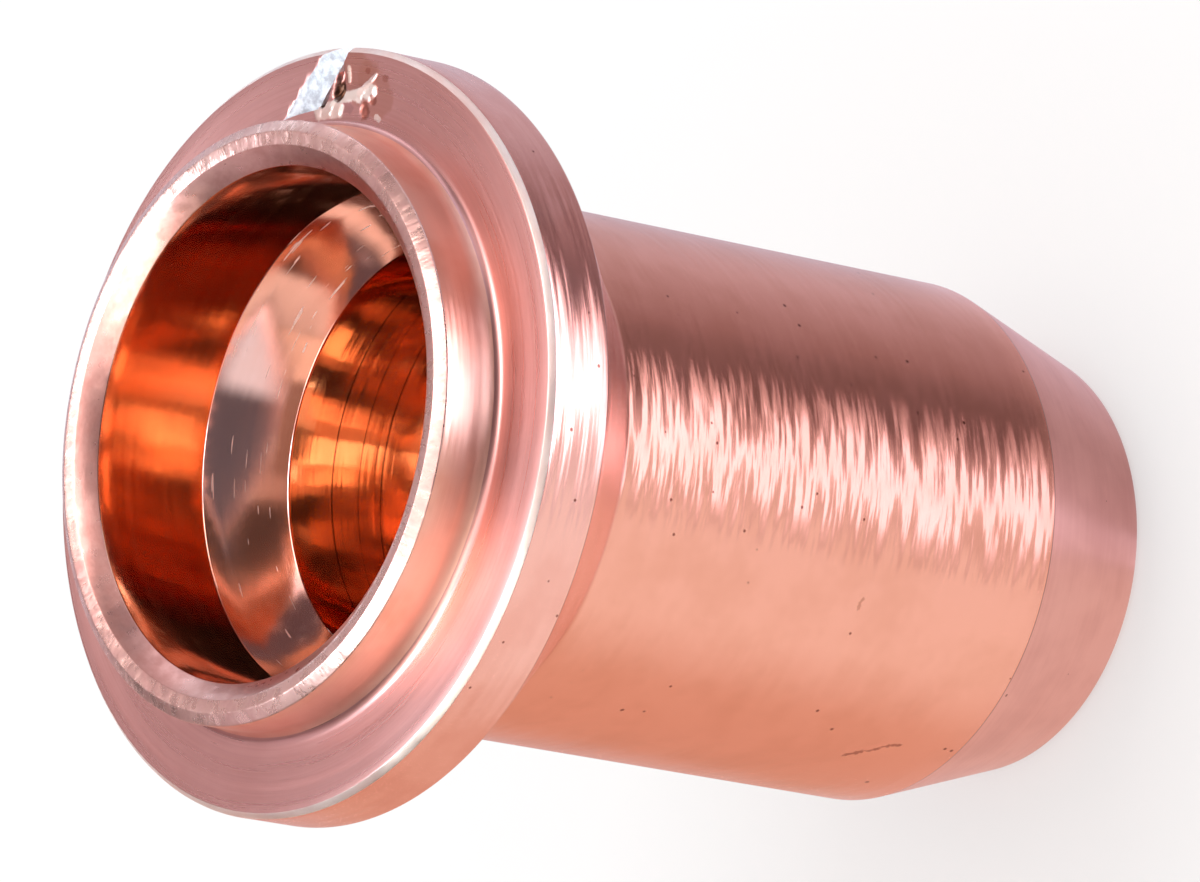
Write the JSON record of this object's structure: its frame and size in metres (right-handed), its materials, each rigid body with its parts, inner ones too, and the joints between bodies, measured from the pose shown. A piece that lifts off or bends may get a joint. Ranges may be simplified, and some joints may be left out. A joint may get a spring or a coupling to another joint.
{
  "type": "plasma torch nozzle",
  "caption": "Turned copper nozzle for a plasma cutting torch: cylindrical barrel, conical nose with a central arc orifice, flange, short collar, stepped bore with a conical seat.",
  "frame": {"origin": "centre of the flat nose face, which the nozzle stands on", "axes": "+Z along the axis of revolution, from the nose towards the open mouth; +X towards the nick in the flange"},
  "size_m": [0.0156, 0.0156, 0.0204],
  "materials": {
    "copper": "turned bare copper, fine tool marks, satin outside and bright in the bores"
  },
  "bodies": {
    "root": {"nozzle": "copper"}
  },
  "joints": []
}
